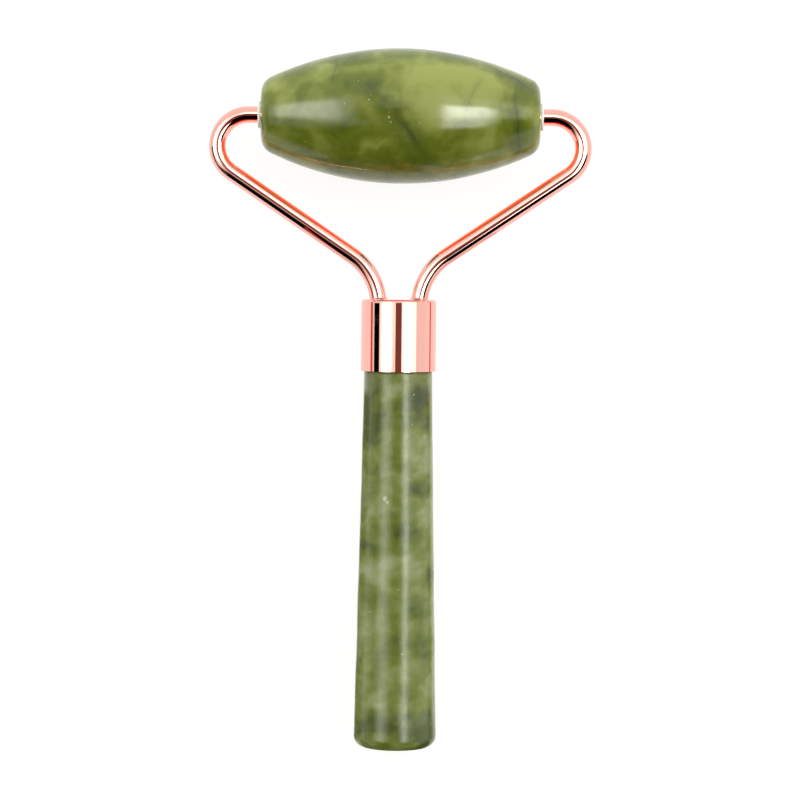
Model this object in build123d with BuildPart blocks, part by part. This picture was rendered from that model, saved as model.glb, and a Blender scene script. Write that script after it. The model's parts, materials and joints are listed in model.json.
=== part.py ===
"""Jade face roller: a stone roller that spins between two wire arms, on a stone handle.

Millimetres, +Z up. The tool lies on a table as it really rests, on the belly of the
roller and the lower edge of the handle's butt, so it is pitched a few degrees. X runs
along the roller's axis and +Y points to the head. The origin is at the bottom centre
of the bounding box.

In the tool's own plane x runs across the tool and y along the handle. The roller's axis
is at y = 0 and the handle points to -y, so places along the handle are negative.
"""

import os
from math import acos, atan2, cos, degrees, hypot, radians, sin, sqrt, tan

from build123d import *

os.makedirs("parts", exist_ok=True)

# Roller stone: a barrel with flat ends, drilled through for the bushes
stone_length = 39.6
stone_diameter = 19.2
stone_crown_radius = 42.9
stone_corner_radius = 2.3

# Wire arms: each runs out of its bush, turns back over the stone and down into the ferrule
wire_diameter = 2.4
wire_tip_rounding = 0.8
arm_tip_x = 13.5
arm_bend_start_x = 21.55
arm_bend_radius = 4.45
arm_slope = 34.0
arm_foot_x = 2.9
arm_foot_bend_radius = 8.5

# Bushes: nylon sleeves pressed into the stone, each with a small flange outside it
bush_wall = 0.35
bush_running_clearance = 0.05
bush_length = 8.0
bush_flange_diameter = 3.8
bush_flange_thickness = 0.45

# Ferrule: a thin metal cup over the neck of the handle, closed at the head end
ferrule_top_y = -26.0
ferrule_length = 10.2
ferrule_diameter = 10.74
ferrule_wall = 0.5
ferrule_plate = 0.6
ferrule_rounding = 0.5

# Arm block: the insert that the feet of the arms are brazed into, under the end plate
block_height = 3.4

# Handle: a tapered stone rod with a spigot that is glued into the ferrule
handle_end_y = -90.0
handle_neck_radius = 4.85
handle_butt_radius = 5.9
handle_corner_radius = 1.7
spigot_radius = 4.7
spigot_chamfer = 0.5

# Bond: the adhesive around the spigot and under the block
bond_thickness = 1.0
bond_recess = 0.3

stone_radius = stone_diameter / 2
wire_radius = wire_diameter / 2
ferrule_inner_radius = ferrule_diameter / 2 - ferrule_wall
ferrule_mouth_y = ferrule_top_y - ferrule_length
block_top_y = ferrule_top_y - ferrule_plate
block_bottom_y = block_top_y - block_height
spigot_top_y = block_bottom_y - bond_thickness
bush_bore_radius = wire_radius + bush_running_clearance
bush_outer_radius = bush_bore_radius + bush_wall
stone_half = stone_length / 2

# Pitch of the tool when the stone and the rounded edge of the butt both touch the table
butt_flat_radius = handle_butt_radius - handle_corner_radius
butt_reach = -handle_end_y - handle_corner_radius
rest_drop = stone_radius - handle_corner_radius
pitch = atan2(butt_reach, butt_flat_radius) - acos(rest_drop / hypot(butt_reach, butt_flat_radius))

# The roller's axis stands at this Y, so that the origin is in the middle of the bounding box
tail_length = butt_reach * cos(pitch) + butt_flat_radius * sin(pitch) + handle_corner_radius
roller_axis_y = (tail_length - stone_radius) / 2

tool_plane = Plane(
    origin=(0, roller_axis_y, stone_radius),
    x_dir=(1, 0, 0),
    z_dir=(0, -sin(pitch), cos(pitch)),
)
roller_axis = Axis(tool_plane.origin, tool_plane.x_dir)
handle_axis = Axis(tool_plane.origin, tool_plane.y_dir)


def cross_plane(y):
    """The plane across the handle at y: its x is the tool's x, and it faces the head."""
    return Plane(
        origin=tool_plane.from_local_coords((0, y, 0)),
        x_dir=tool_plane.x_dir,
        z_dir=tool_plane.y_dir,
    )


# Roller stone
crown_drop = stone_crown_radius - sqrt(stone_crown_radius**2 - stone_half**2)
stone_end_radius = stone_radius - crown_drop

with BuildPart() as roller_stone:
    with BuildSketch(tool_plane):
        with BuildLine():
            ThreePointArc(
                (-stone_half, stone_end_radius), (0, stone_radius), (stone_half, stone_end_radius)
            )
            Polyline(
                (stone_half, stone_end_radius),
                (stone_half, bush_outer_radius),
                (-stone_half, bush_outer_radius),
                (-stone_half, stone_end_radius),
            )
        outline = make_face()
        fillet(outline.vertices().group_by(Axis.Y)[-1], stone_corner_radius)
    revolve(axis=roller_axis)

roller_stone.part.label = "roller_stone"
export_step(roller_stone.part, "parts/roller_stone.step")

# Bushes and arms, one of each on either side
arms = []
for side_name, side in (("left", -1), ("right", 1)):
    flange_outer_x = stone_half + bush_flange_thickness

    with BuildPart() as bush:
        with BuildSketch(tool_plane):
            with BuildLine():
                Polyline(
                    (side * (stone_half - bush_length), bush_bore_radius),
                    (side * flange_outer_x, bush_bore_radius),
                    (side * flange_outer_x, bush_flange_diameter / 2),
                    (side * stone_half, bush_flange_diameter / 2),
                    (side * stone_half, bush_outer_radius),
                    (side * (stone_half - bush_length), bush_outer_radius),
                    close=True,
                )
            make_face()
        revolve(axis=roller_axis)

    bush.part.label = f"{side_name}_bush"
    export_step(bush.part, f"parts/{side_name}_bush.step")

    # The slope and the tip's line meet at a sharp corner that the upper bend rounds off
    slope = radians(arm_slope)
    upper_corner_x = arm_bend_start_x + arm_bend_radius / tan(slope / 2)
    lower_corner_y = -(upper_corner_x - arm_foot_x) * tan(slope)

    with BuildPart() as arm:
        with BuildLine(tool_plane) as arm_path:
            FilletPolyline(
                (side * arm_tip_x, 0),
                (side * upper_corner_x, 0),
                (side * arm_foot_x, lower_corner_y),
                (side * arm_foot_x, block_bottom_y),
                radius=[arm_bend_radius, arm_foot_bend_radius],
            )
        with BuildSketch(Plane(arm_path.line @ 0, z_dir=arm_path.line % 0)):
            Circle(wire_radius)
        sweep()
        tip_edge = arm.edges().filter_by(GeomType.CIRCLE).sort_by_distance(arm_path.line @ 0)[0]
        fillet(tip_edge, wire_tip_rounding)

    arm.part.label = f"{side_name}_arm"
    export_step(arm.part, f"parts/{side_name}_arm.step")
    arms.append(arm.part)

# Ferrule, with the arms' feet through its end plate
with BuildPart() as ferrule:
    with BuildSketch(cross_plane(ferrule_mouth_y)):
        Circle(ferrule_diameter / 2)
    extrude(amount=ferrule_length)
    fillet(ferrule.faces().sort_by(handle_axis)[-1].edges(), ferrule_rounding)
    with BuildSketch(cross_plane(ferrule_mouth_y)):
        Circle(ferrule_inner_radius)
    extrude(amount=ferrule_length - ferrule_plate, mode=Mode.SUBTRACT)
    add(arms, mode=Mode.SUBTRACT)

ferrule.part.label = "ferrule"
export_step(ferrule.part, "parts/ferrule.step")

# Arm block, cut to fit around the feet
with BuildPart() as arm_block:
    with BuildSketch(cross_plane(block_bottom_y)):
        Circle(ferrule_inner_radius)
    extrude(amount=block_height)
    add(arms, mode=Mode.SUBTRACT)

arm_block.part.label = "arm_block"
export_step(arm_block.part, "parts/arm_block.step")

# Handle
with BuildPart() as handle:
    with BuildSketch(tool_plane):
        with BuildLine():
            Polyline(
                (0, spigot_top_y),
                (spigot_radius - spigot_chamfer, spigot_top_y),
                (spigot_radius, spigot_top_y - spigot_chamfer),
                (spigot_radius, ferrule_mouth_y),
                (handle_neck_radius, ferrule_mouth_y),
                (handle_butt_radius, handle_end_y),
                (0, handle_end_y),
                close=True,
            )
        outline = make_face()
        fillet(outline.vertices().sort_by(Axis.X)[-1], handle_corner_radius)
    revolve(axis=handle_axis)

handle.part.label = "handle"
export_step(handle.part, "parts/handle.step")

# Bond
with BuildPart() as bond:
    with BuildSketch(tool_plane):
        with BuildLine():
            Polyline(
                (0, block_bottom_y),
                (ferrule_inner_radius, block_bottom_y),
                (ferrule_inner_radius, ferrule_mouth_y + bond_recess),
                (spigot_radius, ferrule_mouth_y + bond_recess),
                (spigot_radius, spigot_top_y - spigot_chamfer),
                (spigot_radius - spigot_chamfer, spigot_top_y),
                (0, spigot_top_y),
                close=True,
            )
        make_face()
    revolve(axis=handle_axis)

bond.part.label = "bond"
export_step(bond.part, "parts/bond.step")

print(f"pitch {degrees(pitch):.3f} deg, roller axis at y {roller_axis_y:.3f}, z {stone_radius:.3f}")
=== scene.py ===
"""Looks of the jade face roller: polished jade, bright rose gold and nylon under studio light.

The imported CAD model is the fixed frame. The stone, the handle and the bushes are made again here
as finer meshes, the two jades slightly uneven. The metal pieces keep their CAD meshes and get
their finish, and a thin braze is added round each wire's foot.
"""

import json

from math import asin, atan2, cos, pi, radians, sin, sqrt, tan

import bmesh
import bpy
from mathutils import Matrix, Vector, noise


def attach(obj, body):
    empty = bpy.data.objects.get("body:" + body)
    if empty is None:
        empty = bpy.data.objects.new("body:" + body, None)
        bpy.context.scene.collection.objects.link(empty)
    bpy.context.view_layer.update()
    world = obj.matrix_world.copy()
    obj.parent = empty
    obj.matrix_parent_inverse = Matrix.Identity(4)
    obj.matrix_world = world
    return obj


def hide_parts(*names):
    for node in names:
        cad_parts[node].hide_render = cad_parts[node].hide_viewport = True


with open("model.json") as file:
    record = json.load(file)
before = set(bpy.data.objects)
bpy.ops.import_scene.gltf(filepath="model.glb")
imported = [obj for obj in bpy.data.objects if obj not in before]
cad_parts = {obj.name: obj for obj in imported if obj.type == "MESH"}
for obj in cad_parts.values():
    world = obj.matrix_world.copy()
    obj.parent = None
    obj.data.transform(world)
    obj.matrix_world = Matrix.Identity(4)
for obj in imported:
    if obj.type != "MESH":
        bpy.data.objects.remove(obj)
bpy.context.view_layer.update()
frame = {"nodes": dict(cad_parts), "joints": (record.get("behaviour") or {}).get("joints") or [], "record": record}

MM = 0.001

# Driving sizes in millimetres, in the tool's own plane: x across the tool, y along the handle,
# from the middle of the roller's axis
STONE_LENGTH = 39.6
STONE_RADIUS = 9.6
STONE_CROWN_RADIUS = 42.9
STONE_CORNER_RADIUS = 2.3
BORE_RADIUS = 1.6
HANDLE_END = -90.0
HANDLE_NECK = -36.2
HANDLE_SPIGOT_TOP = -31.0
HANDLE_BUTT_RADIUS = 5.9
HANDLE_NECK_RADIUS = 4.85
HANDLE_SPIGOT_RADIUS = 4.7
HANDLE_CORNER_RADIUS = 1.7
BUSH_BORE_RADIUS = 1.25
BUSH_LENGTH = 8.0
FLANGE_RADIUS = 1.9
FLANGE_THICKNESS = 0.45
FLANGE_ROUNDING = 0.14
WIRE_RADIUS = 1.2
FOOT_X = 2.9
ARM_BEND_X = 21.55
ARM_BEND_RADIUS = 4.45
ARM_SLOPE = 34.0
FERRULE_TOP = -26.0

# The room, by angles in degrees from straight up: across to the right, and along to the head

# Panels in the room's ceiling: ranges across and along, and radiance
PANELS = (
    ((-60, -18), (-7, 34), 1.6),
    ((16, 56), (-7, 34), 2.15),
)
EDGE_SOFTNESS = 1.0

# Dark cloth on the near side: where it is full and where it ends, how much less of it there is
# to the left, and its foot, which is lowest in the middle and higher past the sides
CLOTH_EDGE = (-17.0, -5.0)
CLOTH_SLANT = -0.55
CLOTH_SIDES = (28.0, 44.0)
CLOTH_FOOT = (93.0, 68.0)
CLOTH_FOOT_SOFTNESS = 3.0

# A dark card low on the left, and a dim skirting at the foot of the west wall, between two
# angles from straight up. SKIRTING_WEST is the eastward part of a direction, from where the
# skirting is full to where it ends
LEFT_CARD = ((-80, -61), (-90, 0))
SKIRTING = (86.5, 90.0)
SKIRTING_SOFTNESS = 0.5
SKIRTING_WEST = (-0.85, -0.7)
SKIRTING_DARKNESS = 0.8

# The dark patch overhead, and the dark strip between it and the left panel
OVERHEAD = ((-10, 10), (-14, 9))
BESIDE_OVERHEAD = ((-17.5, -10), (-14, 34))
OVERHEAD_COLOUR = (0.20, 0.08, 0.06, 1)

# Soft boxes over the object, each linked to one group of pieces: name, ranges across and along,
# radiance, softness of the edges, share of the light left at the foot, and the group
SOFTBOXES = (
    ("left_box", (-53, -18), (-20, 34), 4.7, (0.12, 0.15), 1.0, "head"),
    ("right_box", (15.5, 37), (-28, 21), 11.5, (0.08, 0.08), 0.5, "head"),
    ("left_handle_box", (-55, -18), (-40, 40), 2.3, (0.2, 0.08), 1.0, "grip"),
    ("right_handle_box", (14, 39), (-40, 40), 5.4, (0.2, 0.08), 1.0, "grip"),
    ("left_inner_box", (-20, -9), (-7, 34), 1.45, (0.05, 0.05), 1.0, "metal"),
    ("right_inner_box", (9, 18), (-7, 34), 1.2, (0.05, 0.05), 1.0, "metal"),
    ("tip_box", (-9, 9), (11, 34), 2.2, (0.03, 0.08), 1.0, "wires"),
)
SOFTBOX_HEIGHT = 0.9
# Where a soft box's light rises from the share at its foot to all of it, as shares of its length
FOOT_FADE = (0.3, 0.65)

# Coral strips along the inside of the wires: colour, distance from a wire's middle, height,
# how far they start before the bend and run on after it, and the number of strips round it
CORAL = (0.90, 0.07, 0.035)
GLOW_DISTANCE = 2.8
GLOW_Z = (-5.0, 1.6)
GLOW_LEAD = 2.0
GLOW_RUN = 22.0
GLOW_BEND_STRIPS = 6

# Coral strip in front of the ferrule's end plate, and coral cards beside it: x, lowest and
# highest z of each card
PLATE_GLOW_X = 5
PLATE_GLOW_Y = -18
PLATE_GLOW_Z = (0.0, 6.0)
WARM_CARDS = ((15, -2.4, -0.8), (-15, 2.7, 3.9))
WARM_CARD_Y = (-44, -18)

BUSH_FILL_ENERGY = 1.4
BUSH_FILL_ANGLE = 60

# Cards on the floor, by their corners in the row's frame in millimetres, just above the floor
SHADE_BESIDE = (
    ((-32, -52), (-8.5, -52), (-8.5, 1), (-32, 1)),
    ((15, -52), (32, -52), (32, 1), (15, 1)),
)
SHADE_BEYOND = (((-1500, -2950), (1500, -2950), (38, -54), (-38, -54)),)
SHADE_HEIGHT = 0.02

# Metres from the middle to each side
FLOOR_REACH = 3.0

# The camera, in millimetres and degrees: what it looks at, its distance from that, half the
# width that it sees there, and its roll
CAMERA_AIM = (0.30, -0.06, 8.0)
CAMERA_DISTANCE = 430
CAMERA_HALF_WIDTH = 57.02
CAMERA_ROLL = 0.57

METAL_NODES = ("ferrule", "left_arm", "right_arm")

JOINT = frame["joints"][0]
BUTT = next(m for m in frame["record"]["mounts"] if m["name"] == "butt")
ROLLER_CENTRE = Vector(JOINT["pos_m"])


# ---------------------------------------------------------------- places


def tool_matrix():
    """From the tool's own plane, in millimetres, to the row's frame, in metres."""
    across = Vector((1, 0, 0))
    along = -Vector(BUTT["axis"])
    up = across.cross(along)
    turn = Matrix((across, along, up)).transposed().to_4x4()
    return Matrix.Translation(ROLLER_CENTRE) @ turn @ Matrix.Scale(MM, 4)


TOOL = tool_matrix()
ALONG_X = Matrix.Rotation(radians(90), 4, "Y")  # a lathe's own axis, z, laid along the tool's x
ALONG_Y = Matrix.Rotation(radians(-90), 4, "X")  # and along the tool's y


# ---------------------------------------------------------------- meshes


def arc(centre, radius, start, end, steps):
    """Points (station, radius) on an arc between two angles in degrees, 0 along the axis."""
    angles = [radians(start + (end - start) * i / steps) for i in range(steps + 1)]
    return [(centre[0] + radius * cos(a), centre[1] + radius * sin(a)) for a in angles]


def line(start, end, steps):
    """Points from start to just before end."""
    return [
        (start[0] + (end[0] - start[0]) * i / steps, start[1] + (end[1] - start[1]) * i / steps)
        for i in range(steps)
    ]


def lathe(name, outline, place, segments, ring=False):
    """Turns an outline of (station, radius) points about z. A ring's outline closes on itself."""
    mesh = bmesh.new()
    rows = []
    for station, radius in outline:
        if radius < 1e-6:
            rows.append([mesh.verts.new((0, 0, station))])
            continue
        turns = [2 * pi * i / segments for i in range(segments)]
        rows.append([mesh.verts.new((radius * cos(a), radius * sin(a), station)) for a in turns])
    pairs = list(zip(rows, rows[1:]))
    if ring:
        pairs.append((rows[-1], rows[0]))
    for low, high in pairs:
        for i in range(segments):
            j = (i + 1) % segments
            corners = [low[i % len(low)], low[j % len(low)], high[j % len(high)], high[i % len(high)]]
            mesh.faces.new(list(dict.fromkeys(corners)))
    bmesh.ops.transform(mesh, matrix=place, verts=mesh.verts)
    bmesh.ops.recalc_face_normals(mesh, faces=mesh.faces)
    data = bpy.data.meshes.new(name)
    mesh.to_mesh(data)
    mesh.free()
    data.polygons.foreach_set("use_smooth", [True] * len(data.polygons))
    piece = bpy.data.objects.new(name, data)
    bpy.context.scene.collection.objects.link(piece)
    return piece


def uneven(piece, depth, size, keep):
    """Gives a ground and hand-polished surface its slight waves: depth and size in millimetres.
    keep(point) is how much of the wave a point takes, from 0 to 1."""
    fine_share, fine_scale = 0.35, 2.7
    crest = 0.7  # taken off the wave, so that all but its highest points go inward
    to_tool = TOOL.inverted()
    vertices = piece.data.vertices
    normals = [v.normal.copy() for v in vertices]
    for vertex, normal in zip(vertices, normals):
        point = to_tool @ vertex.co
        fine = fine_share * noise.noise(point / size * fine_scale)
        wave = noise.noise(point / size) + fine - crest
        vertex.co += normal * wave * depth * keep(point) * MM


def stone_outline():
    """The barrel's closed outline, from the left end round the crown and back through the bore."""
    half = STONE_LENGTH / 2
    crown_centre = STONE_RADIUS - STONE_CROWN_RADIUS
    inner = STONE_CROWN_RADIUS - STONE_CORNER_RADIUS
    corner_x = half - STONE_CORNER_RADIUS
    corner_y = crown_centre + sqrt(inner**2 - corner_x**2)
    slope = 90 - asin(corner_x / inner) * 180 / pi
    left = arc((-corner_x, corner_y), STONE_CORNER_RADIUS, 180, 180 - slope, 14)
    crown = arc((0, crown_centre), STONE_CROWN_RADIUS, 180 - slope, slope, 120)
    right = arc((corner_x, corner_y), STONE_CORNER_RADIUS, slope, 0, 14)
    bevel = 0.15
    mouth = BORE_RADIUS + bevel
    return (
        line((-half, mouth), (-half, corner_y), 6)
        + left
        + crown[1:-1]
        + right
        + line((half, corner_y), (half, mouth), 6)[1:]
        + [(half, mouth), (half - bevel, BORE_RADIUS), (-half + bevel, BORE_RADIUS)]
    )


def handle_outline():
    """From the middle of the butt, round its edge, up the taper and round the spigot."""
    bevel = 0.1
    spigot_chamfer = 0.5
    corner = HANDLE_BUTT_RADIUS - HANDLE_CORNER_RADIUS
    taper = atan2(HANDLE_BUTT_RADIUS - HANDLE_NECK_RADIUS, HANDLE_NECK - HANDLE_END) * 180 / pi
    edge = arc((HANDLE_END + HANDLE_CORNER_RADIUS, corner), HANDLE_CORNER_RADIUS, 180, 90 - taper, 16)
    side = line(edge[-1], (HANDLE_NECK - bevel, HANDLE_NECK_RADIUS), 90)[1:]
    return (
        line((HANDLE_END, 0), (HANDLE_END, corner), 8)
        + edge
        + side
        + [
            (HANDLE_NECK - bevel, HANDLE_NECK_RADIUS),
            (HANDLE_NECK, HANDLE_NECK_RADIUS - bevel),
            (HANDLE_NECK, HANDLE_SPIGOT_RADIUS),
            (HANDLE_SPIGOT_TOP - spigot_chamfer, HANDLE_SPIGOT_RADIUS),
            (HANDLE_SPIGOT_TOP, HANDLE_SPIGOT_RADIUS - spigot_chamfer),
            (HANDLE_SPIGOT_TOP, 0),
        ]
    )


def bush_outline():
    """A sleeve in the stone with a rounded flange outside it, for the right side."""
    bevel = 0.1
    half = STONE_LENGTH / 2
    outside = half + FLANGE_THICKNESS
    rim = FLANGE_RADIUS - FLANGE_ROUNDING
    outer_edge = arc((outside - FLANGE_ROUNDING, rim), FLANGE_ROUNDING, 90, 0, 6)
    return (
        line((half - BUSH_LENGTH, BUSH_BORE_RADIUS), (half - BUSH_LENGTH, BORE_RADIUS), 2)
        + line((half - BUSH_LENGTH, BORE_RADIUS), (half, BORE_RADIUS), 4)
        + [(half, BORE_RADIUS), (half, FLANGE_RADIUS)]
        + outer_edge
        + [(outside, BUSH_BORE_RADIUS + bevel), (outside - bevel, BUSH_BORE_RADIUS)]
    )


def braze_outline():
    """A thin concave fillet of plated braze round a foot, on the ferrule's end plate."""
    size = 0.3
    sunk = 0.1
    inside = WIRE_RADIUS - sunk
    concave = arc((size, WIRE_RADIUS + size), size, 270, 180, 8)
    return [(-sunk, inside), (size, inside)] + concave + [(-sunk, WIRE_RADIUS + size)]


# ---------------------------------------------------------------- material nodes


def srgb(red, green, blue):
    """A linear colour from screen values of 0 to 255, all of them above the curve's straight foot."""
    return tuple(((c / 255 + 0.055) / 1.055) ** 2.4 for c in (red, green, blue)) + (1,)


class Nodes:
    """A node tree, with short calls for the nodes used here."""

    def __init__(self, tree):
        self.tree = tree

    def add(self, kind, **settings):
        node = self.tree.nodes.new(kind)
        for key, value in settings.items():
            setattr(node, key, value)
        return node

    def plug(self, source, socket):
        """Joins a node's output to a socket, or sets the socket to a plain value."""
        if isinstance(source, bpy.types.NodeSocket):
            self.tree.links.new(source, socket)
        else:
            socket.default_value = source

    def math(self, operation, first, second=0.0, clamp=False):
        node = self.add("ShaderNodeMath", operation=operation, use_clamp=clamp)
        self.plug(first, node.inputs[0])
        self.plug(second, node.inputs[1])
        return node.outputs[0]

    def vector(self, operation, first, second=(0, 0, 0), scale=None):
        node = self.add("ShaderNodeVectorMath", operation=operation)
        self.plug(first, node.inputs[0])
        self.plug(second, node.inputs[1])
        if scale is not None:
            self.plug(scale, node.inputs["Scale"])
        return node.outputs["Value"] if operation in ("LENGTH", "DOT_PRODUCT") else node.outputs[0]

    def remap(self, value, low, high, to_low=0.0, to_high=1.0):
        node = self.add("ShaderNodeMapRange", interpolation_type="SMOOTHSTEP", clamp=True)
        for socket, number in zip(node.inputs, (value, low, high, to_low, to_high)):
            self.plug(number, socket)
        return node.outputs[0]

    def mix(self, factor, first, second, blend="MIX"):
        node = self.add("ShaderNodeMix", data_type="RGBA", blend_type=blend)
        self.plug(factor, node.inputs["Factor"])
        self.plug(first, node.inputs[6])
        self.plug(second, node.inputs[7])
        return node.outputs[2]

    def noise(self, point, scale, detail=3.0, roughness=0.5):
        node = self.add("ShaderNodeTexNoise")
        self.plug(point, node.inputs["Vector"])
        node.inputs["Scale"].default_value = scale
        node.inputs["Detail"].default_value = detail
        node.inputs["Roughness"].default_value = roughness
        return node.outputs["Fac"], node.outputs["Color"]

    def ramp(self, value, stops):
        node = self.add("ShaderNodeValToRGB")
        elements = node.color_ramp.elements
        elements[0].position, elements[0].color = stops[0]
        elements[1].position, elements[1].color = stops[-1]
        for position, colour in stops[1:-1]:
            elements.new(position).color = colour
        self.plug(value, node.inputs[0])
        return node.outputs[0]

    def bump(self, height, distance):
        node = self.add("ShaderNodeBump")
        node.inputs["Distance"].default_value = distance
        self.plug(height, node.inputs["Height"])
        return node.outputs[0]

    def inside(self, value, low, high, soft):
        """1 where a value lies between low and high, falling to 0 over soft on each side."""
        above = self.remap(value, low - soft, low + soft)
        below = self.remap(value, high - soft, high + soft, 1.0, 0.0)
        return self.math("MULTIPLY", above, below)


class Shader(Nodes):
    """A material, with its nodes."""

    def __init__(self, name):
        self.material = bpy.data.materials.new(name)
        self.material.use_nodes = True
        super().__init__(self.material.node_tree)
        self.surface = self.tree.nodes["Principled BSDF"]

    def tool_point(self):
        """The surface point in millimetres in the tool's own plane."""
        place = self.add("ShaderNodeTexCoord").outputs["Object"]
        centred = self.vector("SUBTRACT", place, tuple(ROLLER_CENTRE))
        turned = self.add("ShaderNodeVectorRotate", rotation_type="X_AXIS")
        self.plug(centred, turned.inputs["Vector"])
        turned.inputs["Angle"].default_value = asin(BUTT["axis"][2])
        return self.vector("SCALE", turned.outputs[0], scale=1 / MM)

    def blob(self, point, centre, radii, soft=0.5):
        """1 inside an ellipsoid and 0 outside it, with a soft edge."""
        offset = self.vector("SUBTRACT", point, centre)
        reach = self.vector("LENGTH", self.vector("DIVIDE", offset, radii))
        return self.remap(reach, 1 - soft, 1 + soft, 1.0, 0.0)

    def sheet(self, point, through, facing, width):
        """A thin plane through the stone, as a healed crack is: 1 on it and 0 away from it."""
        offset = self.vector("SUBTRACT", point, through)
        away = self.math("ABSOLUTE", self.vector("DOT_PRODUCT", offset, Vector(facing).normalized()))
        return self.remap(away, 0.0, width, 1.0, 0.0)


# ---------------------------------------------------------------- materials


def jade_base(shader, point, seed, stretch, swirl, fine_share):
    """The cloudy body that the stone and the handle share, as a value about 0.5. swirl is how far
    the clouds are drawn out into curls."""
    shifted = shader.vector("ADD", point, seed)
    _, warp = shader.noise(shifted, 0.16, 2.0)
    centred = shader.vector("SUBTRACT", warp, (0.5, 0.5, 0.5))
    bent = shader.vector("ADD", shifted, shader.vector("SCALE", centred, scale=swirl))
    squeezed = shader.vector("MULTIPLY", bent, stretch)
    broad, _ = shader.noise(squeezed, 0.24, 2.0, 0.5)
    fine, _ = shader.noise(squeezed, 0.9, 4.0, 0.6)
    broad = shader.math("MULTIPLY", broad, 1 - fine_share)
    return shader.math("ADD", broad, shader.math("MULTIPLY", fine, fine_share))


def warped(shader, point, scale, reach):
    """The point moved by up to about half of reach, so that placed marks get ragged outlines."""
    _, warp = shader.noise(point, scale, 3.0, 0.6)
    centred = shader.vector("SUBTRACT", warp, (0.5, 0.5, 0.5))
    return shader.vector("ADD", point, shader.vector("SCALE", centred, scale=reach))


def jade_finish(shader, colour, point, roughness, ripple):
    """Polish, translucency and the fine ripple that a tumbled stone keeps."""
    surface = shader.surface
    shader.plug(colour, surface.inputs["Base Color"])
    haze, _ = shader.noise(point, 0.9, 3.0)
    polish = shader.remap(haze, 0.3, 0.7, roughness * 0.8, roughness * 1.25)
    shader.plug(polish, surface.inputs["Roughness"])
    surface.inputs["IOR"].default_value = 1.52
    surface.inputs["Subsurface Weight"].default_value = 0.2
    surface.inputs["Subsurface Radius"].default_value = (0.9, 1.0, 0.45)
    surface.inputs["Subsurface Scale"].default_value = 0.001
    peel, _ = shader.noise(point, 4.0, 2.0)
    shader.plug(shader.bump(peel, ripple * MM), surface.inputs["Normal"])


def specks(shader, point, scale, size, share):
    """Tiny bright inclusions: 1 inside one and 0 elsewhere, in a share of the cells."""
    cells = shader.add("ShaderNodeTexVoronoi", voronoi_dimensions="3D")
    shader.plug(point, cells.inputs["Vector"])
    cells.inputs["Scale"].default_value = scale
    near = shader.remap(cells.outputs["Distance"], size * 0.5, size, 1.0, 0.0)
    pick = shader.add("ShaderNodeSeparateColor")
    shader.plug(cells.outputs["Color"], pick.inputs[0])
    return shader.math("MULTIPLY", near, shader.math("LESS_THAN", pick.outputs[0], share))


def placed_specks(shader, point, table):
    """1 inside any of the placed specks, which reach a little way into the stone."""
    depth = 1.5
    total = 0.0
    for centre, radius in table:
        speck = shader.blob(point, centre, (radius, radius, depth), 0.4)
        total = shader.math("ADD", speck, total, clamp=True)
    return total


def marks(shader, value, point, table):
    """Raises or lowers a value in soft placed patches: centre, radii and amount for each."""
    for centre, radii, amount in table:
        patch = shader.math("MULTIPLY", shader.blob(point, centre, radii), amount)
        value = shader.math("ADD", value, patch)
    return value


# Placed patches in the tool's plane, in millimetres: centre, radii, and how much lighter
STONE_PATCHES = (
    ((7.0, 4.0, 8.0), (8.0, 4.2, 5.0), 0.24),
    ((-9.5, -3.5, 6.5), (8.0, 3.0, 5.0), -0.04),
    ((1.0, -7.5, 5.5), (13.0, 2.8, 5.0), -0.045),
    ((-4.0, -2.6, 8.8), (2.6, 2.4, 4.0), 0.07),
    ((4.0, -0.4, 9.2), (2.8, 2.2, 4.0), 0.10),
    ((-1.2, 0.7, 9.5), (1.8, 1.3, 4.0), -0.08),
    ((0.0, 8.2, 4.0), (12.0, 2.4, 3.5), -0.09),
    ((12.0, -5.2, 6.0), (5.0, 3.0, 5.0), 0.12),
    ((-5.4, 3.8, 8.6), (2.4, 1.4, 4.0), -0.08),
    ((16.0, 0.0, 5.0), (3.0, 6.0, 6.0), -0.03),
    ((-12.0, 5.0, 5.0), (6.0, 3.0, 5.0), 0.03),
    ((-6.0, 2.0, -8.0), (6.0, 5.0, 4.0), 0.15),
    ((8.0, -2.0, -8.0), (5.0, 5.0, 4.0), -0.12),
)
# Bright specks: a centre and a radius
STONE_SPECKS = (
    ((-1.60, -0.45, 9.5), 0.16),
    ((-1.45, -1.25, 9.5), 0.12),
    ((-1.75, 0.10, 9.5), 0.08),
    ((2.70, -1.55, 9.4), 0.10),
    ((-4.50, 1.90, 9.1), 0.10),
    ((-4.30, 2.50, 9.0), 0.07),
    ((-5.90, 4.50, 8.2), 0.09),
    ((-7.90, 1.20, 8.8), 0.07),
    ((-13.4, -4.20, 6.0), 0.07),
    ((6.60, 0.90, 9.1), 0.08),
)
HANDLE_SPECKS = (
    ((-1.70, -54.1, 4.7), 0.30),
    ((-1.35, -54.6, 4.8), 0.18),
    ((2.30, -39.4, 4.4), 0.10),
    ((-3.70, -70.2, 3.9), 0.12),
    ((0.30, -66.9, 5.4), 0.10),
    ((1.00, -76.0, 5.5), 0.14),
    ((2.10, -43.6, 4.6), 0.08),
)

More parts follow.
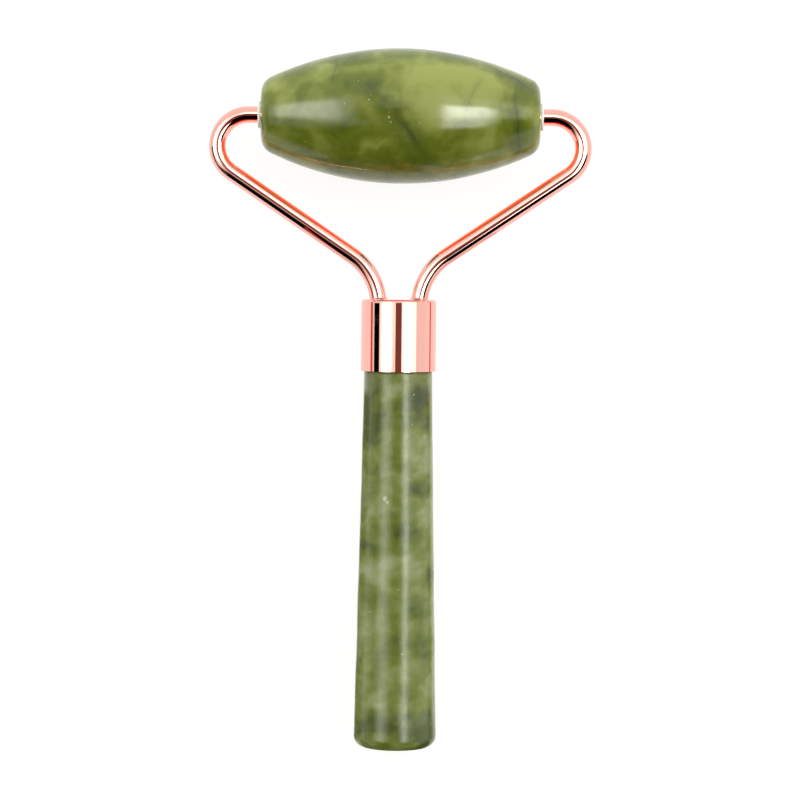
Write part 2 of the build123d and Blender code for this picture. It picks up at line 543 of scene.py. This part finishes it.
# Healed cracks and dark veins: a place on the sheet, the way it faces and its width, then the
# centre and radii of the patch that it shows in, and how dark it is
STONE_CRACKS = (
    ((14.2, 5.6, 6.0), (0.45, 0.9, 0.1), 0.26, (15.2, 5.0, 5.5), (4.5, 2.6, 4.0), 1.0),
    ((16.3, 0.0, 6.0), (1.0, 0.05, 0.1), 0.22, (16.2, -1.0, 6.0), (1.6, 4.6, 4.0), 0.8),
    ((-9.4, 6.0, 6.0), (1.0, 0.12, 0.2), 0.24, (-9.4, 6.2, 5.0), (1.6, 2.6, 4.0), 0.6),
    ((-5.2, 3.2, 9.0), (0.75, 0.65, 0.1), 0.3, (-4.4, 2.6, 8.5), (3.2, 2.6, 3.0), 0.5),
    ((1.2, -2.6, 9.0), (0.74, 0.67, 0.1), 0.35, (1.0, -2.4, 8.5), (3.0, 3.0, 3.0), 0.5),
    ((0.8, -1.9, 9.0), (0.85, 0.53, 0.1), 1.3, (0.8, -2.0, 8.5), (2.8, 3.6, 3.0), 0.6),
    ((-3.3, 2.6, 9.0), (0.62, 0.78, 0.1), 1.0, (-3.4, 2.7, 8.6), (3.2, 2.6, 3.0), 0.45),
    ((9.6, 1.8, 8.0), (0.9, -0.4, 0.1), 0.2, (10.4, 3.0, 8.0), (2.6, 2.6, 3.0), 0.4),
    ((-6.0, 2.0, -8.0), (0.6, 0.8, 0.1), 0.35, (-6.0, 2.0, -8.0), (6.0, 4.0, 4.0), 0.6),
    ((5.0, -1.0, -9.0), (0.9, -0.4, 0.2), 0.25, (5.0, -1.0, -8.0), (3.0, 6.0, 4.0), 0.6),
)
# The soft stain beside a crack: how much wider than the crack, and its share of the darkness
STAIN_WIDTH = 5
STAIN_SHARE = 0.4

HANDLE_PATCHES = (
    ((3.2, -40.4, 4.0), (1.6, 1.6, 3.0), -0.08),
    ((3.6, -44.0, 4.0), (2.0, 1.6, 3.0), -0.06),
    ((3.2, -48.0, 4.0), (2.6, 2.8, 3.0), 0.20),
    ((3.4, -52.6, 4.0), (2.0, 1.0, 3.0), -0.12),
    ((-1.6, -39.2, 4.5), (2.0, 1.4, 3.0), 0.10),
    ((-3.8, -42.0, 3.5), (2.2, 5.2, 3.0), -0.28),
    ((0.0, -43.0, 4.5), (1.2, 4.0, 3.0), -0.05),
    ((-4.2, -59.6, 3.5), (2.0, 2.4, 3.0), -0.10),
    ((-3.0, -63.8, 4.5), (3.4, 2.2, 3.0), 0.15),
    ((-2.4, -86.6, 5.0), (2.2, 0.9, 3.0), -0.12),
    ((2.4, -86.8, 5.0), (1.0, 0.8, 3.0), -0.12),
    ((-4.4, -88.2, 3.0), (1.2, 1.4, 4.0), -0.14),
    ((4.4, -88.0, 3.0), (1.2, 1.6, 4.0), -0.14),
    ((0.0, -86.5, 4.0), (6.5, 3.0, 6.0), -0.14),
    ((3.2, -69.6, 4.0), (1.8, 1.6, 3.0), -0.10),
    ((2.0, -73.2, 5.0), (1.2, 2.0, 3.0), 0.09),
    ((0.2, -54.5, 5.0), (2.2, 5.0, 3.0), -0.09),
    ((3.4, -63.5, 4.0), (2.4, 3.0, 3.0), 0.05),
    ((-3.4, -72.6, 4.0), (2.6, 3.6, 3.0), 0.15),
    ((-3.4, -82.0, 4.0), (2.6, 3.6, 3.0), -0.05),
    ((0.0, -60.0, -5.0), (3.0, 9.0, 3.0), 0.08),
)

JADE_DEEP = srgb(80, 97, 30)
JADE_DARK = srgb(98, 115, 32)
JADE_MID = srgb(118, 130, 38)
JADE_LIGHT = srgb(138, 149, 60)
JADE_BRIGHT = srgb(163, 173, 84)
JADE_VEIN = srgb(70, 84, 42)
JADE_INK = srgb(52, 64, 50)
JADE_MILK = srgb(160, 169, 118)
JADE_SPECK = srgb(226, 230, 204)
GRIP_DEEP = srgb(84, 97, 36)
GRIP_DARK = srgb(104, 117, 44)
GRIP_MID = srgb(119, 132, 52)
GRIP_LIGHT = srgb(134, 146, 72)
ROSE_GOLD = (0.94, 0.50, 0.42, 1)
BRASS = (0.62, 0.42, 0.16, 1)


def contrast(shader, value, amount):
    """Spreads a value away from 0.5, or draws it in."""
    return shader.math("ADD", shader.math("MULTIPLY", shader.math("SUBTRACT", value, 0.5), amount), 0.5)


def roller_jade():
    """Clear green jade: soft clouds, dark healed cracks and pale specks under a high polish."""
    shader = Shader("jade_roller")
    point = shader.tool_point()
    ragged = warped(shader, point, 0.4, 2.4)
    bowed = warped(shader, point, 0.3, 1.6)
    cloud = jade_base(shader, point, (3.0, 11.0, 5.0), (1.0, 1.0, 1.0), 7.0, 0.16)
    value = marks(shader, contrast(shader, cloud, 0.7), ragged, STONE_PATCHES)
    colour = shader.ramp(
        value,
        [
            (0.28, JADE_DEEP),
            (0.38, JADE_DARK),
            (0.48, JADE_MID),
            (0.56, JADE_LIGHT),
            (0.68, JADE_BRIGHT),
        ],
    )
    for through, facing, width, centre, radii, amount in STONE_CRACKS:
        line_itself = shader.sheet(bowed, through, facing, width)
        wide_sheet = shader.sheet(bowed, through, facing, width * STAIN_WIDTH)
        stain = shader.math("MULTIPLY", wide_sheet, STAIN_SHARE)
        crack = shader.math("MAXIMUM", line_itself, stain)
        crack = shader.math("MULTIPLY", crack, shader.blob(point, centre, radii))
        colour = shader.mix(shader.math("MULTIPLY", crack, amount), colour, JADE_VEIN)
    colour = shader.mix(specks(shader, point, 0.4, 0.05, 0.2), colour, JADE_SPECK)
    inclusions = shader.math("MULTIPLY", placed_specks(shader, bowed, STONE_SPECKS), 0.55)
    colour = shader.mix(inclusions, colour, JADE_SPECK)
    jade_finish(shader, colour, point, 0.14, 0.0012)
    return shader.material


def handle_jade():
    """The same jade, duller and milkier, with an ink-dark spot by the neck and a pitted polish."""
    shader = Shader("jade_handle")
    point = shader.tool_point()
    ragged = warped(shader, point, 0.6, 1.8)
    cloud = jade_base(shader, point, (21.0, 3.0, 9.0), (0.75, 1.1, 0.75), 2.6, 0.2)
    value = marks(shader, contrast(shader, cloud, 1.2), ragged, HANDLE_PATCHES)
    colour = shader.ramp(
        value,
        [
            (0.28, GRIP_DEEP),
            (0.38, GRIP_DARK),
            (0.47, GRIP_MID),
            (0.56, GRIP_LIGHT),
            (0.70, JADE_MILK),
        ],
    )
    milk, _ = shader.noise(shader.vector("ADD", point, (5.0, 60.0, 1.0)), 0.22, 2.0)
    colour = shader.mix(shader.remap(milk, 0.5, 0.75, 0.0, 0.35), colour, JADE_MILK)
    ink = shader.blob(ragged, (3.3, -39.6, 3.8), (1.4, 1.6, 2.0), 0.85)
    colour = shader.mix(shader.math("MULTIPLY", ink, 0.75), colour, JADE_INK)
    colour = shader.mix(specks(shader, point, 0.3, 0.06, 0.15), colour, JADE_SPECK)
    nicked = warped(shader, point, 1.6, 0.35)
    inclusions = shader.math("MULTIPLY", placed_specks(shader, nicked, HANDLE_SPECKS), 0.65)
    colour = shader.mix(inclusions, colour, JADE_SPECK)
    jade_finish(shader, colour, point, 0.2, 0.02)
    return shader.material


def rose_gold():
    """Mirror plating with a breath of haze."""
    shader = Shader("rose_gold")
    point = shader.tool_point()
    surface = shader.surface
    surface.inputs["Base Color"].default_value = ROSE_GOLD
    surface.inputs["Metallic"].default_value = 1.0
    haze, _ = shader.noise(point, 0.6, 4.0)
    shader.plug(shader.remap(haze, 0.35, 0.7, 0.03, 0.07), surface.inputs["Roughness"])
    return shader.material


def brass():
    """Bare metal, a little dull, for the block inside the ferrule."""
    shader = Shader("raw_brass")
    surface = shader.surface
    surface.inputs["Base Color"].default_value = BRASS
    surface.inputs["Metallic"].default_value = 1.0
    point = shader.tool_point()
    haze, _ = shader.noise(point, 3.0, 4.0)
    shader.plug(shader.remap(haze, 0.3, 0.7, 0.25, 0.4), surface.inputs["Roughness"])
    return shader.material


def nylon():
    """White and slightly cloudy, with a soft gloss."""
    shader = Shader("nylon")
    surface = shader.surface
    point = shader.tool_point()
    cloud, _ = shader.noise(point, 2.0, 2.0)
    colour = shader.mix(cloud, srgb(244, 244, 238), srgb(253, 253, 250))
    shader.plug(colour, surface.inputs["Base Color"])
    surface.inputs["Roughness"].default_value = 0.4
    surface.inputs["Specular IOR Level"].default_value = 0.25
    surface.inputs["Subsurface Weight"].default_value = 0.3
    surface.inputs["Subsurface Radius"].default_value = (1, 1, 0.9)
    surface.inputs["Subsurface Scale"].default_value = 0.0002
    return shader.material


def epoxy():
    """Cured adhesive, yellowish and cloudy."""
    shader = Shader("epoxy")
    surface = shader.surface
    point = shader.tool_point()
    cloud, _ = shader.noise(point, 1.5, 2.0)
    shader.plug(shader.mix(cloud, srgb(196, 190, 160), srgb(220, 214, 186)), surface.inputs["Base Color"])
    surface.inputs["Roughness"].default_value = 0.25
    return shader.material


def paper_white():
    """A floor that is lit from within, so that it stays almost plain white under the object."""
    shader = Shader("pale_floor")
    surface = shader.surface
    place = shader.add("ShaderNodeTexCoord").outputs["Object"]
    grain, _ = shader.noise(place, 900.0, 2.0)
    paper = shader.mix(grain, (0.19, 0.19, 0.19, 1), (0.21, 0.21, 0.21, 1))
    shader.plug(paper, surface.inputs["Base Color"])
    surface.inputs["Roughness"].default_value = 0.9
    surface.inputs["Specular IOR Level"].default_value = 0.0
    surface.inputs["Emission Color"].default_value = (1, 1, 1, 1)
    surface.inputs["Emission Strength"].default_value = 0.9
    return shader.material


def matt_card(name, colour):
    """A plain matt card."""
    shader = Shader(name)
    surface = shader.surface
    surface.inputs["Base Color"].default_value = colour
    surface.inputs["Roughness"].default_value = 0.9
    surface.inputs["Specular IOR Level"].default_value = 0.0
    return shader.material


def warm_card():
    """A card that glows coral."""
    shader = Shader("warm_card")
    surface = shader.surface
    surface.inputs["Base Color"].default_value = (0, 0, 0, 1)
    surface.inputs["Specular IOR Level"].default_value = 0.0
    surface.inputs["Emission Color"].default_value = (*CORAL, 1)
    surface.inputs["Emission Strength"].default_value = 1.0
    return shader.material


def dress(piece, material):
    piece.data.materials.clear()
    piece.data.materials.append(material)


# ---------------------------------------------------------------- pieces


def make_stone(material):
    piece = lathe("jade_stone", stone_outline(), TOOL @ ALONG_X, 224, ring=True)

    def keep(point):
        """Nothing at the bore, where the flange sits, and all of the wave further out."""
        plain_rim, fade = 0.6, 1.5
        from_axis = sqrt(point.y**2 + point.z**2)
        return min(1.0, max(0.0, (from_axis - BORE_RADIUS - plain_rim) / fade))

    uneven(piece, 0.035, 7.0, keep)
    dress(piece, material)
    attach(piece, "roller")
    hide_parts("roller_stone")
    return piece


def make_handle(material):
    piece = lathe("jade_handle", handle_outline(), TOOL @ ALONG_Y, 160)

    def keep(point):
        """Nothing under the ferrule and on the butt's flat, and all of the wave between them."""
        neck_margin, neck_fade = 1.0, 5.0
        butt_margin, butt_fade = 0.4, 3.0
        below_neck = min(1.0, max(0.0, (HANDLE_NECK - neck_margin - point.y) / neck_fade))
        above_butt = min(1.0, max(0.0, (point.y - HANDLE_END - butt_margin) / butt_fade))
        return below_neck * above_butt

    uneven(piece, 0.05, 6.0, keep)
    dress(piece, material)
    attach(piece, "frame")
    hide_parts("handle")
    return piece


def make_bushes(material):
    pieces = []
    for name, side in (("left", -1), ("right", 1)):
        mirror = Matrix.Scale(side, 4, (1, 0, 0))
        piece = lathe(f"{name}_flanged_bush", bush_outline(), TOOL @ mirror @ ALONG_X, 64, ring=True)
        dress(piece, material)
        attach(piece, "roller")
        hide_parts(f"{name}_bush")
        pieces.append(piece)
    return pieces


def make_brazes(material):
    for name, side in (("left", -1), ("right", 1)):
        place = TOOL @ Matrix.Translation((side * FOOT_X, FERRULE_TOP, 0)) @ ALONG_Y
        piece = lathe(f"{name}_braze", braze_outline(), place, 64, ring=True)
        dress(piece, material)
        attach(piece, "frame")


# ---------------------------------------------------------------- stage


def make_floor():
    signs = ((-1, -1), (1, -1), (1, 1), (-1, 1))
    corners = [(x * FLOOR_REACH, y * FLOOR_REACH, 0) for x, y in signs]
    mesh = bpy.data.meshes.new("floor")
    mesh.from_pydata(corners, [], [(0, 1, 2, 3)])
    floor = bpy.data.objects.new("floor", mesh)
    bpy.context.scene.collection.objects.link(floor)
    dress(floor, paper_white())


def panel(nodes, across, along, x_range, y_range):
    """1 inside a panel over the object, from one pair of angles to another, and 0 outside it."""
    inside_x = nodes.inside(across, *x_range, EDGE_SOFTNESS)
    inside_y = nodes.inside(along, *y_range, EDGE_SOFTNESS)
    return nodes.math("MULTIPLY", inside_x, inside_y)


def near_cloth(nodes, east, north, across, along, from_zenith):
    """How much of the dark cloth on the near side is seen in a direction."""
    slant = nodes.math("MULTIPLY", nodes.math("MINIMUM", across, 0.0), CLOTH_SLANT)
    near_side = nodes.remap(nodes.math("ADD", along, slant), *CLOTH_EDGE, 1.0, 0.0)
    south = nodes.math("MULTIPLY", north, -1.0)
    sideways = nodes.math("ABSOLUTE", nodes.math("ARCTAN2", east, south))
    sides = [radians(angle) for angle in CLOTH_SIDES]
    foot = nodes.remap(sideways, *sides, *CLOTH_FOOT)
    below_foot = nodes.math("SUBTRACT", from_zenith, foot)
    above_foot = nodes.remap(below_foot, -CLOTH_FOOT_SOFTNESS, 0.0, 1.0, 0.0)
    return nodes.math("MULTIPLY", near_side, above_foot)


def make_studio():
    """The room's light: pale walls, two ceiling panels, dark cloth on the near side, and a few
    smaller dark places. A direct view of the room is plain white, and the rest shows only in
    reflections and as light."""
    world = bpy.data.worlds.new("studio")
    bpy.context.scene.world = world
    world.use_nodes = True
    nodes = Nodes(world.node_tree)
    split = nodes.add("ShaderNodeSeparateXYZ")
    nodes.plug(nodes.add("ShaderNodeTexCoord").outputs["Generated"], split.inputs[0])
    east, north, up = split.outputs
    to_degrees = 180 / pi
    across = nodes.math("MULTIPLY", nodes.math("ARCTAN2", east, up), to_degrees)
    along = nodes.math("MULTIPLY", nodes.math("ARCTAN2", north, up), to_degrees)
    from_zenith = nodes.math("MULTIPLY", nodes.math("ARCCOSINE", up), to_degrees)

    cloth = near_cloth(nodes, east, north, across, along, from_zenith)
    left_card = panel(nodes, across, along, *LEFT_CARD)
    west = nodes.remap(east, *SKIRTING_WEST, SKIRTING_DARKNESS, 0.0)
    wall_foot = nodes.inside(from_zenith, *SKIRTING, SKIRTING_SOFTNESS)
    skirting = nodes.math("MULTIPLY", wall_foot, west)
    dark = nodes.math("MAXIMUM", cloth, nodes.math("MAXIMUM", left_card, skirting))
    light = nodes.math("SUBTRACT", 1.0, dark)
    for x_range, y_range, radiance in PANELS:
        inside = panel(nodes, across, along, x_range, y_range)
        light = nodes.math("MAXIMUM", light, nodes.math("MULTIPLY", inside, radiance))
    colour = nodes.mix(1.0, light, (1, 1, 1, 1), "MULTIPLY")

    overhead = panel(nodes, across, along, *OVERHEAD)
    beside = panel(nodes, across, along, *BESIDE_OVERHEAD)
    colour = nodes.mix(nodes.math("MAXIMUM", overhead, beside), colour, OVERHEAD_COLOUR)
    seen = nodes.add("ShaderNodeLightPath").outputs["Is Camera Ray"]
    colour = nodes.mix(seen, colour, (1, 1, 1, 1))
    background = world.node_tree.nodes["Background"]
    background.inputs["Strength"].default_value = 1.0
    nodes.plug(colour, background.inputs["Color"])


def sky_place(x_degrees, y_degrees, height):
    """The point at a height in metres that stands at these angles from straight up."""
    return Vector((height * tan(radians(x_degrees)), height * tan(radians(y_degrees)), height))


def lamp_strength(data, soft_x, soft_y, foot):
    """Fades a lamp panel towards its edges, and down to a share of its light at its foot."""
    data.use_nodes = True
    nodes = Nodes(data.node_tree)
    split = nodes.add("ShaderNodeSeparateXYZ")
    nodes.plug(nodes.add("ShaderNodeNewGeometry").outputs["Parametric"], split.inputs[0])
    inside_x = nodes.inside(split.outputs[0], soft_x, 1 - soft_x, soft_x)
    inside_y = nodes.inside(split.outputs[1], soft_y, 1 - soft_y, soft_y)
    slope = nodes.remap(split.outputs[1], *FOOT_FADE, foot, 1.0)
    strength = nodes.math("MULTIPLY", nodes.math("MULTIPLY", inside_x, inside_y), slope)
    nodes.plug(strength, data.node_tree.nodes["Emission"].inputs["Strength"])


def receivers(name, *pieces):
    """The pieces that a lamp linked to them lights and shows in."""
    collection = bpy.data.collections.new(name)
    for piece in pieces:
        collection.objects.link(piece)
    return collection


def softbox(name, x_range, y_range, radiance, soft, foot, lit):
    """A soft box over the object, from one pair of angles to another, shining straight down.
    It is there for its reflection, so it adds nothing to the room's even light."""
    low = sky_place(x_range[0], y_range[0], SOFTBOX_HEIGHT)
    high = sky_place(x_range[1], y_range[1], SOFTBOX_HEIGHT)
    data = bpy.data.lights.new(name, "AREA")
    data.shape = "RECTANGLE"
    data.size, data.size_y = high.x - low.x, high.y - low.y
    data.energy = radiance * pi * data.size * data.size_y
    lamp_strength(data, *soft, foot)
    lamp = bpy.data.objects.new(name, data)
    lamp.location = (low + high) / 2
    lamp.visible_camera = False
    lamp.visible_diffuse = False
    lamp.light_linking.receiver_collection = lit
    bpy.context.scene.collection.objects.link(lamp)


def glow_strip(name, start, end, z_range, lit):
    """A low coral lamp between two places in the tool's plane, in millimetres. It faces right of
    the way it runs, and shows only in the metal that it is linked to."""
    start, end = Vector((*start, 0)), Vector((*end, 0))
    run = (end - start).normalized()
    facing = run.cross(Vector((0, 0, 1)))
    middle = (start + end) / 2 + Vector((0, 0, (z_range[0] + z_range[1]) / 2))
    data = bpy.data.lights.new(name, "AREA")
    data.shape = "RECTANGLE"
    data.size, data.size_y = (end - start).length * MM, (z_range[1] - z_range[0]) * MM
    data.energy = pi * data.size * data.size_y
    data.color = CORAL
    lamp = bpy.data.objects.new(name, data)
    turn = Matrix((-run, Vector((0, 0, 1)), -facing)).transposed().to_4x4()
    place = TOOL @ Matrix.Translation(middle) @ turn
    lamp.matrix_world = Matrix.LocRotScale(place.to_translation(), place.to_quaternion(), None)
    lamp.visible_camera = False
    lamp.visible_diffuse = False
    lamp.light_linking.receiver_collection = lit
    bpy.context.scene.collection.objects.link(lamp)


def glow_path():
    """The strips' line beside the right wire: along the tip, round the bend and down the slope."""
    inner = ARM_BEND_RADIUS - GLOW_DISTANCE
    bend = radians(180 - ARM_SLOPE)
    turns = [bend * i / GLOW_BEND_STRIPS for i in range(GLOW_BEND_STRIPS + 1)]
    path = [(ARM_BEND_X - GLOW_LEAD, -GLOW_DISTANCE)]
    path += [(ARM_BEND_X + inner * sin(a), -ARM_BEND_RADIUS + inner * cos(a)) for a in turns]
    slope = radians(ARM_SLOPE)
    last_x, last_y = path[-1]
    path.append((last_x - GLOW_RUN * cos(slope), last_y - GLOW_RUN * sin(slope)))
    return path


def make_wire_glow(wires):
    """Coral strips inside the two arms, for the warm line that their inner flanks show."""
    path = glow_path()
    for side_name, side in (("left", -1), ("right", 1)):
        for i, (start, end) in enumerate(zip(path, path[1:])):
            points = [(side * start[0], start[1]), (side * end[0], end[1])]
            if side > 0:
                points.reverse()
            glow_strip(f"{side_name}_glow_{i}", *points, GLOW_Z, wires)


def hidden_cards(name, patches, material):
    """Cards that show in reflections only. Each patch lists its corners in metres."""
    mesh = bpy.data.meshes.new(name)
    corners = [corner for patch in patches for corner in patch]
    mesh.from_pydata(corners, [], [tuple(range(4 * i, 4 * i + 4)) for i in range(len(patches))])
    cards = bpy.data.objects.new(name, mesh)
    cards.visible_camera = False
    cards.visible_diffuse = False
    cards.visible_shadow = False
    bpy.context.scene.collection.objects.link(cards)
    dress(cards, material)


def make_ferrule_glow(ferrule):
    """A coral strip in front of the ferrule's end plate and a card on either side of it, each
    seen in the ferrule as a thin line."""
    ends = [(x, PLATE_GLOW_Y) for x in (-PLATE_GLOW_X, PLATE_GLOW_X)]
    glow_strip("ferrule_glow_front", *ends, PLATE_GLOW_Z, ferrule)
    near, far = WARM_CARD_Y
    patches = []
    for x, low, high in WARM_CARDS:
        corners = ((x, near, low), (x, far, low), (x, far, high), (x, near, high))
        patches.append([tuple(TOOL @ Vector(corner)) for corner in corners])
    hidden_cards("warm_cards", patches, warm_card())


def make_bush_fill(bushes):
    """A soft lamp for the nylon alone, which looks too grey in the room's light."""
    data = bpy.data.lights.new("bush_fill", "SUN")
    data.energy = BUSH_FILL_ENERGY
    data.angle = radians(BUSH_FILL_ANGLE)
    lamp = bpy.data.objects.new("bush_fill", data)
    lamp.visible_glossy = False
    lamp.light_linking.receiver_collection = bushes
    bpy.context.scene.collection.objects.link(lamp)


def make_shade():
    """Cards on the floor, for reflections only: dim ones on both sides of the handle, as the
    tool's own soft shadow is, and a dark one beyond the butt, where the near cloth lies."""
    dim = matt_card("dim_card", (0.3, 0.3, 0.28, 1))
    dark = matt_card("dark_card", (0.02, 0.02, 0.02, 1))
    for name, patches, material in (
        ("floor_shade", SHADE_BESIDE, dim),
        ("floor_cloth", SHADE_BEYOND, dark),
    ):
        raised = [[(x * MM, y * MM, SHADE_HEIGHT * MM) for x, y in patch] for patch in patches]
        hidden_cards(name, raised, material)


def make_camera():
    """Straight above the tool, as the photograph was taken, with a slight roll."""
    middle = Vector(CAMERA_AIM) * MM
    distance = CAMERA_DISTANCE * MM
    data = bpy.data.cameras.new("camera")
    data.sensor_width = 36
    data.angle = 2 * atan2(CAMERA_HALF_WIDTH * MM, distance)
    data.clip_start = 0.01
    camera = bpy.data.objects.new("camera", data)
    camera.location = middle + Vector((0, 0, distance))
    camera.rotation_euler = (0, 0, radians(CAMERA_ROLL))
    bpy.context.scene.collection.objects.link(camera)
    bpy.context.scene.camera = camera


# ---------------------------------------------------------------- the scene


def make_pieces():
    """Every piece with its material. Returns the groups that lamps are linked to."""
    metal = rose_gold()
    stone = make_stone(roller_jade())
    handle = make_handle(handle_jade())
    bushes = make_bushes(nylon())
    make_brazes(metal)
    nodes = frame["nodes"]
    metal_nodes = [nodes[name] for name in METAL_NODES]
    for node in metal_nodes:
        dress(node, metal)
    dress(nodes["arm_block"], brass())
    dress(nodes["bond"], epoxy())
    return {
        "head": receivers("head", stone, *bushes, *metal_nodes),
        "metal": receivers("metal_nodes", *metal_nodes),
        "wires": receivers("wires", nodes["left_arm"], nodes["right_arm"]),
        "grip": receivers("grip", handle),
        "ferrule": receivers("plate", nodes["ferrule"]),
        "bushes": receivers("nylon", *bushes),
    }


def build():
    groups = make_pieces()
    make_floor()
    make_shade()
    make_studio()
    for *box, group in SOFTBOXES:
        softbox(*box, groups[group])
    make_wire_glow(groups["wires"])
    make_ferrule_glow(groups["ferrule"])
    make_bush_fill(groups["bushes"])
    make_camera()
    bpy.context.scene.view_settings.view_transform = "Standard"


build()
